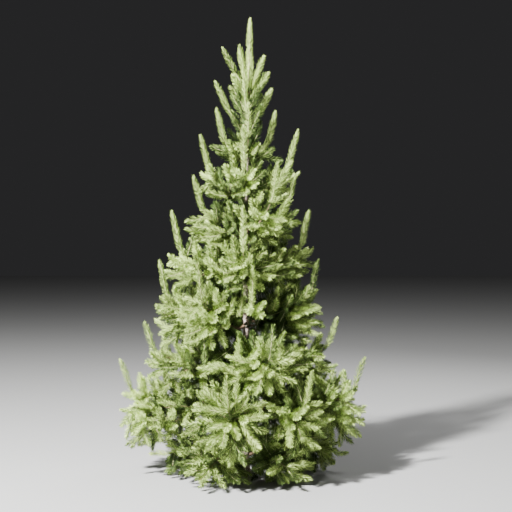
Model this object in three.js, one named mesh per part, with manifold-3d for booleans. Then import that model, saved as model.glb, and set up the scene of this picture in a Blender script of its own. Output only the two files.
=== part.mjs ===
// A young spruce, about 2.8 m tall: one trunk from its flat cut at ground level to its top bud, ten
// whorls of boughs, and one mass of needles on each bough. The two lowest whorls have bare limbs that
// carry their masses; above them the needles start at the trunk. Millimetres, +Z up, with the origin
// at the centre of the cut at ground level.
import * as THREE from "three";
import { mergeVertices } from "three/addons/utils/BufferGeometryUtils.js";
import Module from "manifold-3d";

const wasm = await Module();
wasm.setup();

// Trunk
const TRUNK_HEIGHT = 2788; // to the top bud
const TRUNK_RADIUS = 28; // above the root flare
const BUD_RADIUS = 2.6; // of the trunk's tip
const TAPER = 1.15; // power of the trunk's taper
const FLARE = 15; // extra radius at ground level
const FLARE_HEIGHT = 55; // over which the flare fades
const ROOTS = 5; // lobes of the root flare
const LOBE = 0.4; // height of a lobe, as a share of the flare
const LEAN = 38; // sideways, at the tip
const SWAY = 7; // of the trunk's slow bend
const TRUNK_SIDES = 12;
const TRUNK_RINGS = 18;
const RING_SPREAD = 1.6; // above 1, the rings lie closer together near the ground

// Room between solids
const CLEARANCE = 0.4; // where one carries the other
const ROOM = 1.5; // between masses
const SECTOR = 0.94; // share of the angle between neighbours that a mass takes
const WIDEST_SECTOR = 45; // degrees to each side of a bough
const NARROWING = 0.94; // of a crowded mass, at each pass
const MOST_PASSES = 25;
const GROUND_GAP = 22; // under the lowest needles

// Bare limbs of the low boughs
const BARE_WHORLS = 2; // counted from the ground
const BARE = 0.3; // bare share of a low bough's length, from the trunk to its node
const LIMB_RADIUS = 9; // at the trunk, of a limb of the usual length
const LIMB_LENGTH = 600; // the usual one
const LIMB_TAPER = 0.62; // radius where the needles start, as a share of that at the trunk
const COLLAR = 0.2; // swelling at the trunk, as a share of the radius
const COLLAR_LENGTH = 0.3; // share of the limb over which it fades
const LIMB_SIDES = 8;
const LIMB_RINGS = 5;

// Masses of needles
const START = 0.9; // distance of a bough's foot from the trunk's centre, as a share of its radius
const SHOOT_RADIUS = 25; // of this year's shoot with its needles
const SHOOT_TIP_RADIUS = 13;
const THINNEST = 0.3; // of a section, as a share of a plain shoot's
const FROND_CANDLE = 0.2; // share of the candle that adds to the length of the frond below it
const SPREAD = 0.56; // half width of a mass, as a share of its frond's length
const DEPTH = 185; // half thickness of the deepest mass
const DEPTH_SLOPE = 0.36; // growth of a mass's half thickness with its frond's length
const LEVEL_SHARE = 0.47; // share of the height to the next whorl that a mass takes
const UNEVEN = 0.16; // of a mass's surface
const EVEN_SHARE = 0.3; // of that unevenness that is left on a plain shoot
const MASS_SIDES = 8;
const WHORL_DEPTH = 46; // the boughs of a whorl leave the trunk over this height
const GOLDEN = 0.618; // spaces them over it
const YOUNG_WHORLS = 4; // the topmost ones, whose boughs leave closer together

// The needles round the top of the trunk
const LEADER_FOOT = 2385; // where they clear the needles of the top whorl
const LEADER_WIDENS = 55; // height over which they reach their full width
const LEADER_TIP = TRUNK_HEIGHT + 24;
const LEADER_RINGS = [0, 0.08, 0.2, 0.45, 0.7, 0.9, 1];

// Each whorl: the height where it leaves the trunk, the reach and rise of its boughs to their last
// node, the length of the candle beyond the node and its lean from upright, and for each bough its
// azimuth in degrees, its vigour and, where it isn't 1, the share of its whorl's rise that it takes.
const WHORLS = [
  { height: 2330, reach: 30, rise: 50, candle: 262, lean: 27,
    boughs: [[180, 1.04], [248, 0.92], [324, 0.5], [84, 0.8]] },
  { height: 2140, reach: 90, rise: 80, candle: 215, lean: 27,
    boughs: [[181, 1.05], [104, 1.0], [4, 0.62], [262, 0.8]] },
  { height: 1920, reach: 125, rise: 125, candle: 208, lean: 17,
    boughs: [[196, 1.04], [98, 1.0], [2, 0.9], [272, 0.98]] },
  { height: 1690, reach: 208, rise: 188, candle: 238, lean: 20,
    boughs: [[176, 0.98], [92, 0.98], [5, 1.1], [266, 0.94]] },
  { height: 1462, reach: 244, rise: 176, candle: 226, lean: 22,
    boughs: [[187, 0.98], [92, 1.04], [357, 0.88], [300, 1.14]] },
  { height: 1192, reach: 345, rise: 172, candle: 272, lean: 20,
    boughs: [[180, 1.05], [122, 0.96], [62, 1.04], [2, 0.86], [268, 1.04]] },
  { height: 922, reach: 420, rise: 156, candle: 256, lean: 21,
    boughs: [[177, 1.05], [114, 1.0], [52, 1.04], [352, 0.85], [276, 0.8], [238, 1.02]] },
  { height: 622, reach: 512, rise: 122, candle: 232, lean: 27,
    boughs: [[184, 1.0], [128, 1.04], [66, 0.98], [354, 0.9], [284, 1.08]] },
  { height: 408, reach: 588, rise: 94, candle: 228, lean: 32,
    boughs: [[177, 1.1], [112, 1.0], [48, 1.06], [350, 1.04], [306, 0.92], [262, 1.0]] },
  { height: 224, reach: 530, rise: -132, candle: 120, lean: 92,
    boughs: [[196, 0.88, 0.35], [248, 1.0], [300, 0.96], [8, 0.98], [98, 1.04]] },
];

// The outline of a mass: station along the bough (0 at its start, 1 at its node, 2 at its tip), width
// and thickness as shares of the mass's greatest, and how much of a plain shoot the section is.
const OUTLINE = [
  [0.0, 0.14, 0.3, 0],
  [0.14, 0.5, 0.7, 0],
  [0.36, 0.92, 0.96, 0],
  [0.6, 1.0, 1.0, 0],
  [0.84, 0.84, 0.92, 0],
  [1.06, 0.58, 0.78, 0],
  [1.26, 0.36, 0.5, 0.15],
  [1.48, 0.1, 0.15, 0.85],
  [2.0, 0, 0, 1],
];
const NARROWS = 1.3; // station where a shoot starts to narrow to its tip

const { clamp, degToRad, lerp, smoothstep } = THREE.MathUtils;
const UP = new THREE.Vector3(0, 0, 1);

function plainMaterial(red, green, blue, roughness) {
  const color = new THREE.Color(red, green, blue);
  return new THREE.MeshStandardMaterial({ color, roughness, metalness: 0 });
}

const bark = plainMaterial(0.36, 0.29, 0.23, 0.9);
const limbBark = plainMaterial(0.46, 0.36, 0.26, 0.85);
const needles = plainMaterial(0.52, 0.62, 0.33, 0.6);

// A value from -1 to 1, always the same for the same keys.
function unevenness(...keys) {
  const mixed = keys.reduce((sum, key, i) => sum + key * (12.9898 + 65.233 * i), 4.1);
  const wave = Math.sin(mixed) * 43758.5453;
  return 2 * (wave - Math.floor(wave)) - 1;
}

// The trunk leans slowly to +X and sways a little on the way up.
function trunkCentre(z) {
  const share = Math.min(z / TRUNK_HEIGHT, 1);
  const sway = SWAY * (1 - share);
  const x = LEAN * share ** 1.5 + sway * Math.sin(5.2 * share);
  const y = sway * 0.5 * (Math.cos(6.1 * share) - 1);
  return new THREE.Vector3(x, y, z);
}

function trunkRadius(z) {
  return BUD_RADIUS + (TRUNK_RADIUS - BUD_RADIUS) * (1 - z / TRUNK_HEIGHT) ** TAPER;
}

// Radius of the needles round the trunk's top: none at first, then widening to that of a shoot.
function leaderRadius(z) {
  const widening = smoothstep(z, LEADER_FOOT - LEADER_WIDENS, LEADER_FOOT + LEADER_WIDENS);
  const narrowing = clamp((z - LEADER_FOOT) / (LEADER_TIP - LEADER_FOOT), 0, 1) ** 3;
  return lerp(SHOOT_RADIUS * widening, SHOOT_TIP_RADIUS, narrowing);
}

// A ring of points round a centre, in the plane of two directions. `size` gives the half width and
// the half thickness at the ring's point of that number.
function ring(centre, across, up, sides, size) {
  return Array.from({ length: sides }, (_, j) => {
    const turn = (2 * Math.PI * (j + 0.5)) / sides;
    const [half, deep] = size(j, turn);
    return centre
      .clone()
      .addScaledVector(across, Math.cos(turn) * half)
      .addScaledVector(up, Math.sin(turn) * deep);
  });
}

// A closed solid through rings of points, with a flat end at each.
function loft(rings) {
  const sides = rings[0].length;
  const index = [];
  for (let i = 0; i + 1 < rings.length; i++) {
    for (let j = 0; j < sides; j++) {
      const a = i * sides + j;
      const b = i * sides + ((j + 1) % sides);
      index.push(a, b, b + sides, a, b + sides, a + sides);
    }
  }
  const last = (rings.length - 1) * sides;
  for (let j = 1; j + 1 < sides; j++) {
    index.push(0, j + 1, j, last, last + j, last + j + 1);
  }
  return new THREE.BufferGeometry().setFromPoints(rings.flat()).setIndex(index);
}

function toSolid(geometry) {
  const merged = mergeVertices(geometry, 1e-4);
  const vertProperties = merged.getAttribute("position").array;
  const triVerts = new Uint32Array(merged.index.array);
  return new wasm.Manifold(new wasm.Mesh({ numProp: 3, vertProperties, triVerts }));
}

// The largest body of a solid, as a geometry.
function toGeometry(solid) {
  const bodies = solid.decompose().sort((a, b) => b.volume() - a.volume());
  const mesh = bodies[0].getMesh();
  const positions = new THREE.BufferAttribute(new Float32Array(mesh.vertProperties), 3);
  const index = new THREE.BufferAttribute(new Uint32Array(mesh.triVerts), 1);
  return new THREE.BufferGeometry().setAttribute("position", positions).setIndex(index);
}

// The trunk. Grown by a clearance, it cuts room for itself in what it carries.
function trunkGeometry(grown = 0) {
  const across = new THREE.Vector3(1, 0, 0);
  const back = new THREE.Vector3(0, 1, 0);
  const rings = Array.from({ length: TRUNK_RINGS }, (_, i) => {
    const z = TRUNK_HEIGHT * (i / (TRUNK_RINGS - 1)) ** RING_SPREAD;
    return ring(trunkCentre(z), across, back, TRUNK_SIDES, (j, turn) => {
      const flare = FLARE * Math.exp(-z / FLARE_HEIGHT) * (1 + LOBE * Math.cos(ROOTS * turn));
      const radius = trunkRadius(z) + flare + grown;
      return [radius, radius];
    });
  });
  return loft(rings);
}

// The tangent of half the angle from one bough of a whorl to the next in a direction, +1 or -1.
function roomBeside(whorl, azimuth, direction) {
  const turns = whorl.boughs.map(([other]) => ((other - azimuth) * direction + 360) % 360);
  const nearest = Math.min(...turns.filter((turn) => turn > 0));
  return SECTOR * Math.tan(degToRad(Math.min(nearest / 2, WIDEST_SECTOR)));
}

// The height of a whorl's boughs at a distance from the trunk.
function levelOf(whorl, reach, riseShare = 1) {
  return whorl.height + riseShare * whorl.rise * Math.min(reach / whorl.reach, 1);
}

// The room that a bough's mass has, at a distance from the trunk, towards the whorl above or below.
function roomTowards(bough, other, reach) {
  const { whorl, riseShare } = bough;
  const gap = other ? Math.abs(levelOf(other, reach) - levelOf(whorl, reach, riseShare)) : Infinity;
  return LEVEL_SHARE * gap * Math.cos(Math.atan2(riseShare * whorl.rise, whorl.reach));
}

// One bough: its spine from the trunk to the tip of its candle, and the room to its neighbours.
function makeBough(whorl, w, b) {
  const [azimuth, vigour, riseShare = 1] = whorl.boughs[b];
  const out = new THREE.Vector3(Math.cos(degToRad(azimuth)), Math.sin(degToRad(azimuth)), 0);
  const stagger = ((b * GOLDEN) % 1) - 0.5;
  const z = whorl.height + stagger * WHORL_DEPTH * Math.min(1, (w + 1) / YOUNG_WHORLS);
  const lean = degToRad(whorl.lean);
  const candle = whorl.candle * lerp(0.6, 1, vigour);
  const foot = trunkCentre(z).addScaledVector(out, START * trunkRadius(z));
  const node = trunkCentre(z)
    .addScaledVector(out, whorl.reach * vigour)
    .addScaledVector(UP, whorl.rise * riseShare * lerp(0.5, 1, vigour));
  const tip = node
    .clone()
    .addScaledVector(out, candle * Math.sin(lean))
    .addScaledVector(UP, candle * Math.cos(lean));
  const length = foot.distanceTo(node);
  return {
    name: `${w + 1}_${b + 1}`,
    seed: w * 7 + b,
    bare: w >= WHORLS.length - BARE_WHORLS,
    whorl,
    riseShare,
    above: WHORLS[w - 1],
    below: WHORLS[w + 1],
    out,
    side: new THREE.Vector3(-out.y, out.x, 0),
    spine: new THREE.CatmullRomCurve3([foot, node, tip]),
    length,
    candle,
    toNode: length / (length + candle),
    left: roomBeside(whorl, azimuth, 1),
    right: roomBeside(whorl, azimuth, -1),
    fit: 1,
  };
}

// The point of a bough's spine at a station, and the direction square to the spine and its side.
function stationOn(bough, station) {
  const share = station < 1 ? station * bough.toNode : lerp(bough.toNode, 1, station - 1);
  const at = bough.spine.getPointAt(share);
  const up = bough.spine.getTangentAt(share).cross(bough.side).normalize();
  return { at, up };
}

// A point moved, if need be, outside the tree's heart and between the neighbours of its bough.
function keepInSector(bough, point) {
  const centre = trunkCentre(point.z);
  const from = point.clone().sub(centre);
  const trunk = START * trunkRadius(Math.min(point.z, TRUNK_HEIGHT));
  const heart = point.z < LEADER_FOOT ? trunk : (1 + UNEVEN) * leaderRadius(point.z) + ROOM;
  const reach = Math.max(from.dot(bough.out), heart);
  const across = clamp(from.dot(bough.side), ROOM - bough.right * reach, bough.left * reach - ROOM);
  return centre.addScaledVector(bough.out, reach).addScaledVector(bough.side, across);
}

// The mass of needles on a bough: an uneven frond that narrows past the node into an upright shoot.
function foliageGeometry(bough) {
  const frondLength = bough.length + FROND_CANDLE * bough.candle;
  const widest = SPREAD * frondLength;
  const deepest = Math.min(DEPTH, DEPTH_SLOPE * frondLength + SHOOT_RADIUS);
  const start = bough.bare ? BARE : 0;
  const rings = OUTLINE.map(([place, width, thickness, shoot], i) => {
    const station = place < 1 ? lerp(start, 1, place) : place;
    const { at, up } = stationOn(bough, station);
    const narrowing = Math.max(0, (station - NARROWS) / (2 - NARROWS)) ** 2;
    const plain = lerp(SHOOT_RADIUS, SHOOT_TIP_RADIUS, narrowing);
    const frond = (size) => lerp(bough.fit * Math.max(size, THINNEST * plain), plain, shoot);
    const uneven = UNEVEN * (shoot < 1 && i > 0 ? 1 : EVEN_SHARE);
    const reach = at.clone().sub(trunkCentre(at.z)).dot(bough.out);
    const points = ring(at, bough.side, up, MASS_SIDES, (j, turn) => {
      const rough = 1 + uneven * unevenness(bough.seed, i, j);
      const next = Math.sin(turn) > 0 ? bough.above : bough.below;
      const deep = thickness * Math.min(deepest, roomTowards(bough, next, reach));
      return [rough * frond(width * widest), rough * frond(deep)];
    });
    return points.map((point) => keepInSector(bough, point.setZ(Math.max(point.z, GROUND_GAP))));
  });
  return loft(rings);
}

// The bare limb of a low bough, from the trunk to where the needles start.
function limbGeometry(bough) {
  const radius = LIMB_RADIUS * Math.sqrt(bough.length / LIMB_LENGTH);
  const end = BARE - CLEARANCE / bough.length;
  const rings = Array.from({ length: LIMB_RINGS }, (_, i) => {
    const share = i / (LIMB_RINGS - 1);
    const { at, up } = stationOn(bough, share * end);
    const collar = 1 + COLLAR * Math.max(0, 1 - share / COLLAR_LENGTH);
    const thick = radius * collar * lerp(1, LIMB_TAPER, share);
    return ring(at, bough.side, up, LIMB_SIDES, () => [thick, thick]);
  });
  return loft(rings);
}

// The needles round the top of the trunk, above the last whorl.
function leaderGeometry() {
  const across = new THREE.Vector3(1, 0, 0);
  const back = new THREE.Vector3(0, 1, 0);
  const rings = LEADER_RINGS.map((share, i) => {
    const z = lerp(LEADER_FOOT, LEADER_TIP, share);
    return ring(trunkCentre(z), across, back, MASS_SIDES, (j) => {
      const radius = leaderRadius(z) * (1 + UNEVEN * EVEN_SHARE * unevenness(i, j));
      return [radius, radius];
    });
  });
  return loft(rings);
}

// Whether two solids are closer than the room that masses keep.
function crowded(a, b) {
  const [boxA, boxB] = [a.boundingBox(), b.boundingBox()];
  const gap = (i) => Math.max(boxA.min[i] - boxB.max[i], boxB.min[i] - boxA.max[i]);
  const apart = [0, 1, 2].some((i) => gap(i) > ROOM);
  return !apart && a.minGap(b, 2 * ROOM) < ROOM;
}

// Narrows the masses that crowd each other, or the leader, pass by pass until each has its room.
function makeRoom(boughs, leader) {
  const solidOf = (bough) => toSolid(foliageGeometry(bough));
  const solids = boughs.map(solidOf);
  for (let pass = 0; pass < MOST_PASSES; pass++) {
    const tight = boughs.filter((_, i) =>
      crowded(solids[i], leader) || solids.some((other, k) => k !== i && crowded(solids[i], other)),
    );
    if (tight.length === 0) {
      return;
    }
    for (const bough of tight) {
      bough.fit *= NARROWING;
      solids[boughs.indexOf(bough)] = solidOf(bough);
    }
  }
}

const tree = new THREE.Group();
const trunkRoom = toSolid(trunkGeometry(CLEARANCE));
const cutRoundTrunk = (geometry) => toGeometry(toSolid(geometry).subtract(trunkRoom));

function add(name, geometry, material) {
  const mesh = new THREE.Mesh(geometry, material);
  mesh.name = name;
  tree.add(mesh);
}

const boughs = WHORLS.flatMap((whorl, w) => whorl.boughs.map((_, b) => makeBough(whorl, w, b)));
makeRoom(boughs, toSolid(leaderGeometry()));

add("trunk", trunkGeometry(), bark);
add("leader_foliage", cutRoundTrunk(leaderGeometry()), needles);
for (const bough of boughs) {
  add(`foliage_${bough.name}`, cutRoundTrunk(foliageGeometry(bough)), needles);
  if (bough.bare) {
    add(`bough_${bough.name}`, cutRoundTrunk(limbGeometry(bough)), limbBark);
  }
}

export default tree;
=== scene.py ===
"""A young spruce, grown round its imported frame: bark with its relief on the trunk and boughs, twigs,
buds and needles. Each mass of the frame is filled by boughs that branch year by year from the mass's
own spine."""

import functools
import math
import random

import bpy
import numpy as np
from mathutils import Matrix, Vector, noise


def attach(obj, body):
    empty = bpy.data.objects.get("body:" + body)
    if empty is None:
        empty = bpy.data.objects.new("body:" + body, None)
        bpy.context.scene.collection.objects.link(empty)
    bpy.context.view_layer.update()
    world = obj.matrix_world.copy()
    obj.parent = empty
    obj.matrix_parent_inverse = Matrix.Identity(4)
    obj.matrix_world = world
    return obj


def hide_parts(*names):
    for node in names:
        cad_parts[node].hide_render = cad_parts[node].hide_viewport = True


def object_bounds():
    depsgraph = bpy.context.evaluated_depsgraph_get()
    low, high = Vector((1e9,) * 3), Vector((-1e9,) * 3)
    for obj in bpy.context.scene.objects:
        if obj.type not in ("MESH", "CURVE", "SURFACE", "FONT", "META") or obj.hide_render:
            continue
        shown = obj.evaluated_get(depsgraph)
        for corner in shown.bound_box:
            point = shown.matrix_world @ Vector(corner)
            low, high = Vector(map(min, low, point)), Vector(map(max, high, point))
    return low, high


bl_info = {
    "name": "Young spruce",
    "version": (1, 0, 0),
    "blender": (4, 5, 0),
    "location": "View3D > Sidebar > Spruce",
    "description": "Grows a young spruce round its packed frame",
    "category": "Add Mesh",
}

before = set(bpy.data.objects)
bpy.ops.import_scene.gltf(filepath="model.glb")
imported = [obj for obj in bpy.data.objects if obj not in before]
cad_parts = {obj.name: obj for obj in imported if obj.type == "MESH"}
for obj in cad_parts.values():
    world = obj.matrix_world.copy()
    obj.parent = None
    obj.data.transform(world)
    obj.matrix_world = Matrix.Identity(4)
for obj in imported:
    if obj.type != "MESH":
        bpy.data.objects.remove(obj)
CAD_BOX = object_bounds()
TOP = CAD_BOX[1].z
UP = Vector((0, 0, 1))
BODY = "root"

MASSES = sorted(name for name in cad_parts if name.startswith("foliage_"))
LIMBS = sorted(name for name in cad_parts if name.startswith("bough_"))


# Sizes and colours that a user would change


class SpruceGrowth(bpy.types.PropertyGroup):
    seed: bpy.props.IntProperty(name="Seed", description="Seed of the branching", default=11)
    internode: bpy.props.FloatProperty(
        name="Year's growth",
        description="Length of an older year's growth along a bough",
        default=0.105,
        unit="LENGTH",
    )
    fork: bpy.props.FloatProperty(
        name="Fork",
        description="Angle of a side shoot to its parent",
        default=math.radians(56),
        subtype="ANGLE",
    )
    side_share: bpy.props.FloatProperty(
        name="Side share",
        description="Length of a side shoot, as a share of its bough's candle",
        default=0.6,
    )
    fill: bpy.props.FloatProperty(
        name="Fill", description="How far shoots fill their mass of the frame", default=1.1
    )
    gap: bpy.props.FloatProperty(
        name="Gap", description="Room that each shoot keeps round its tip", default=0.066, unit="LENGTH"
    )


class SpruceNeedles(bpy.types.PropertyGroup):
    length: bpy.props.FloatProperty(
        name="Needle length", description="Length of a full needle", default=0.039, unit="LENGTH"
    )
    width: bpy.props.FloatProperty(
        name="Needle width", description="Width of a full needle", default=0.0047, unit="LENGTH"
    )
    spacing: bpy.props.FloatProperty(
        name="Needle spacing",
        description="Way along the twig from one needle to the next",
        default=0.00092,
        unit="LENGTH",
    )
    spread: bpy.props.FloatProperty(
        name="Needle spread",
        description="Angle of a needle to its twig",
        default=math.radians(44),
        subtype="ANGLE",
    )


class SpruceBark(bpy.types.PropertyGroup):
    relief: bpy.props.FloatProperty(
        name="Relief", description="Height of the bark's scales on the trunk", default=0.0011, unit="LENGTH"
    )
    bough_radius: bpy.props.FloatProperty(
        name="Bough radius",
        description="Radius of the thickest bough at the trunk",
        default=0.0105,
        unit="LENGTH",
    )
    twig_radius: bpy.props.FloatProperty(
        name="Twig radius", description="Radius of this year's twigs", default=0.0021, unit="LENGTH"
    )


class SpruceStage(bpy.types.PropertyGroup):
    distance: bpy.props.FloatProperty(
        name="Camera distance", description="From the trunk to the camera", default=7.0, unit="LENGTH"
    )
    eye: bpy.props.FloatProperty(
        name="Camera height", description="Above the ground", default=1.5, unit="LENGTH"
    )
    view_angle: bpy.props.FloatProperty(
        name="View angle",
        description="The camera's field of view",
        default=math.radians(25.45),
        subtype="ANGLE",
    )
    floor: bpy.props.FloatVectorProperty(
        name="Floor", description="The floor's colour", default=(0.30, 0.30, 0.295), subtype="COLOR"
    )


# Reading the frame


def triangles(node):
    """A CAD node's triangles, as an array of three corners each."""
    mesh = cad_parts[node].data
    corners = np.empty(len(mesh.vertices) * 3, np.float32)
    mesh.vertices.foreach_get("co", corners)
    index = np.empty(len(mesh.loops), np.int32)
    mesh.loops.foreach_get("vertex_index", index)
    return corners.reshape(-1, 3)[index].reshape(-1, 3, 3).astype(float)


def crossing(solid, origin, axis, distance):
    """The points where a plane square to an axis cuts a solid's edges."""
    height = (solid - np.array(origin)) @ np.array(axis) - distance
    found = []
    for a, b in ((0, 1), (1, 2), (2, 0)):
        cut = (height[:, a] < 0) != (height[:, b] < 0)
        share = height[cut, a] / (height[cut, a] - height[cut, b])
        found.append(solid[cut, a] + share[:, None] * (solid[cut, b] - solid[cut, a]))
    return np.concatenate(found)


class Trunk:
    """The frame's trunk: its centre line and radius at any height, and its outline with the lobes near
    the ground."""

    RINGS = 120
    INSET = 0.001  # from each end of the trunk to the nearest ring

    def __init__(self):
        solid = triangles("trunk")
        self.top = solid[:, :, 2].max()
        self.heights = np.linspace(self.INSET, self.top - self.INSET, self.RINGS)
        rings = [crossing(solid, (0, 0, 0), UP, height) for height in self.heights]
        self.centres = np.array([(ring.min(0) + ring.max(0)) / 2 for ring in rings])
        self.radii = np.array(
            [np.linalg.norm(ring - centre, axis=1).mean() for ring, centre in zip(rings, self.centres)]
        )
        self.outlines = []
        for ring, centre in zip(rings, self.centres):
            out = ring - centre
            turns = np.arctan2(out[:, 1], out[:, 0])
            order = np.argsort(turns)
            self.outlines.append((turns[order], np.linalg.norm(out, axis=1)[order]))

    def centre(self, z):
        return Vector((*(np.interp(z, self.heights, self.centres[:, i]) for i in (0, 1)), z))

    def radius(self, z):
        return float(np.interp(z, self.heights, self.radii))

    def outline(self, z, turn):
        """The distance from the centre to the surface in a direction."""
        place = np.interp(z, self.heights, np.arange(len(self.heights)))
        low = int(place)
        high = min(low + 1, len(self.heights) - 1)
        turn = (turn + math.pi) % (2 * math.pi) - math.pi
        across = [np.interp(turn, *self.outlines[i], period=2 * math.pi) for i in (low, high)]
        return across[0] + (across[1] - across[0]) * (place - low)


@functools.cache
def trunk():
    return Trunk()


class Mass:
    """One of the frame's masses of needles: the spine through it, from the trunk's side to its tip, and
    how far it reaches to each side of the spine."""

    STATIONS = 28
    INSET = 0.02  # share of the length from each end of a mass to the nearest station
    FOOT = 0.01  # the foot's corners lie this much further from the trunk than the nearest one, at most
    TIP = 0.035  # the tip's corners lie within this of the furthest one
    PLAIN = 0.034  # half width of a plain shoot's stretch of a mass, at most
    PLAIN_SHARE = 0.5  # of the candle that is plain
    SMALL = 0.09  # greatest half width of a small mass
    BEND = (0.15, 0.55)  # where a small mass may bend, as shares of its length
    LEAST_BEND = 0.04  # depth of a bend, as a share of the length
    UNBENT = 0.1  # where the candle of an unbent mass starts, as a share of its length
    SPILL = 0.7  # how far shoots stand above and below a mass half way up, as a share of its depth
    SPILL_FADES = 0.4  # share of the length over which the spill fades to nothing at the tip
    THINNEST = 0.012  # half width or half depth that a mass is taken to have, at least
    END = 0.02  # how far past an end of a mass is as far out as its surface
    SPOTS = (0.12, 1.0)  # where on the length a spot lies
    RING = (0.16, 1.15)  # the square of a spot's distance from the middle, as a share of the way out

    def __init__(self, node):
        self.node = node
        solid = triangles(node)
        points = solid.reshape(-1, 3)
        stem = np.stack([np.interp(points[:, 2], trunk().heights, trunk().centres[:, i]) for i in (0, 1)], 1)
        from_trunk = np.linalg.norm(points[:, :2] - stem, axis=1)
        self.foot = Vector(points[from_trunk < from_trunk.min() + self.FOOT].mean(0))
        from_foot = np.linalg.norm(points - np.array(self.foot), axis=1)
        far = points[from_foot.argmax()]
        self.tip = Vector(points[np.linalg.norm(points - far, axis=1) < self.TIP].mean(0))
        self.chord = (self.tip - self.foot).normalized()
        self.length = (self.tip - self.foot).length
        out = Vector((self.chord.x, self.chord.y, 0)).normalized()
        self.side = Vector((-out.y, out.x, 0))
        self.over = self.chord.cross(self.side)
        self.places = np.linspace(self.INSET, 1 - self.INSET, self.STATIONS)
        extents = []
        for place in self.places:
            cut = crossing(solid, self.foot, self.chord, place * self.length) - np.array(self.foot)
            across, over = cut @ np.array(self.side), cut @ np.array(self.over)
            extents.append((across.max(), -across.min(), over.max(), over.min()))
        self.left, self.right, highest, lowest = np.array(extents).T
        self.middle = (highest + lowest) / 2
        self.half = (highest - lowest) / 2
        spill = self.SPILL * (1.5 - self.foot.z / TOP)
        self.deep = self.half * (1 + spill * np.clip((1 - self.places) / self.SPILL_FADES, 0, 1))
        line = [self.foot]
        for place, middle in zip(self.places, self.middle):
            line.append(self.foot + self.chord * (place * self.length) + self.over * middle)
        line.append(self.tip)
        self.spine = Path(line)
        self.knee = self.find_knee()
        self.candle = self.spine.length - self.knee

    def find_knee(self):
        """Where on the spine the candle starts: plain shoots are narrow, and take up a share of it. A small
        mass bends there."""
        width = (self.left + self.right) / 2
        if width.max() < self.SMALL:
            inner = (self.places > self.BEND[0]) & (self.places < self.BEND[1])
            bend = int(np.where(inner, np.abs(self.middle), 0).argmax())
            bent = abs(self.middle[bend]) > self.LEAST_BEND * self.length
            return self.spine.length * (self.places[bend] if bent else self.UNBENT)
        plain = (1 - self.places[np.flatnonzero(width > self.PLAIN)[-1]]) * self.length
        return self.spine.length - plain / self.PLAIN_SHARE

    def crowding(self, point):
        """How far out of the mass's middle a point lies: under 1 inside the mass, and more outside."""
        out = point - self.foot
        place = out.dot(self.chord) / self.length
        across = out.dot(self.side)
        over = out.dot(self.over) - np.interp(place, self.places, self.middle)
        room = np.interp(place, self.places, self.left if across > 0 else self.right)
        deep = np.interp(place, self.places, self.deep)
        past = max(0.0, place - 1, -place) * self.length / self.END
        return math.hypot(across / max(room, self.THINNEST), over / max(deep, self.THINNEST)) + past

    def spot(self, dice):
        """A point somewhere in the mass, or a little outside it."""
        place = dice.uniform(*self.SPOTS)
        turn = dice.uniform(0, 2 * math.pi)
        far = math.sqrt(dice.uniform(*self.RING))
        across, over = far * math.cos(turn), far * math.sin(turn)
        across *= np.interp(place, self.places, self.left if across > 0 else self.right)
        over = over * np.interp(place, self.places, self.deep) + np.interp(place, self.places, self.middle)
        spine = self.foot + self.chord * (place * self.length)
        return spine + self.side * float(across) + self.over * float(over)


class Path:
    """A smooth line through points, measured by its length."""

    PASSES = 4  # of smoothing
    REACH = 0.012  # to each side of a place, where its direction is measured

    def __init__(self, points):
        points = [Vector(p) for p in points]
        for _ in range(self.PASSES):
            inner = [(a + 2 * b + c) / 4 for a, b, c in zip(points, points[1:], points[2:])]
            points = [points[0], *inner, points[-1]]
        steps = [(b - a).length for a, b in zip(points, points[1:])]
        self.stations = np.concatenate([[0.0], np.cumsum(steps)])
        self.length = float(self.stations[-1])
        self.coordinates = np.array(points)

    def at(self, distance):
        return Vector([float(np.interp(distance, self.stations, self.coordinates[:, i])) for i in range(3)])

    def direction(self, distance):
        return (self.at(distance + self.REACH) - self.at(distance - self.REACH)).normalized()


# Growing the crown


class Shoot:
    """One year's growth: its line, its age in years, its order (-1 on the trunk, 0 on a bough, and more on
    side boughs and twigs) and its tier."""

    def __init__(self, points, age, order, tier):
        self.points = points
        self.age = age
        self.order = order
        self.tier = tier
        self.length = sum((b - a).length for a, b in zip(points, points[1:]))


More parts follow.
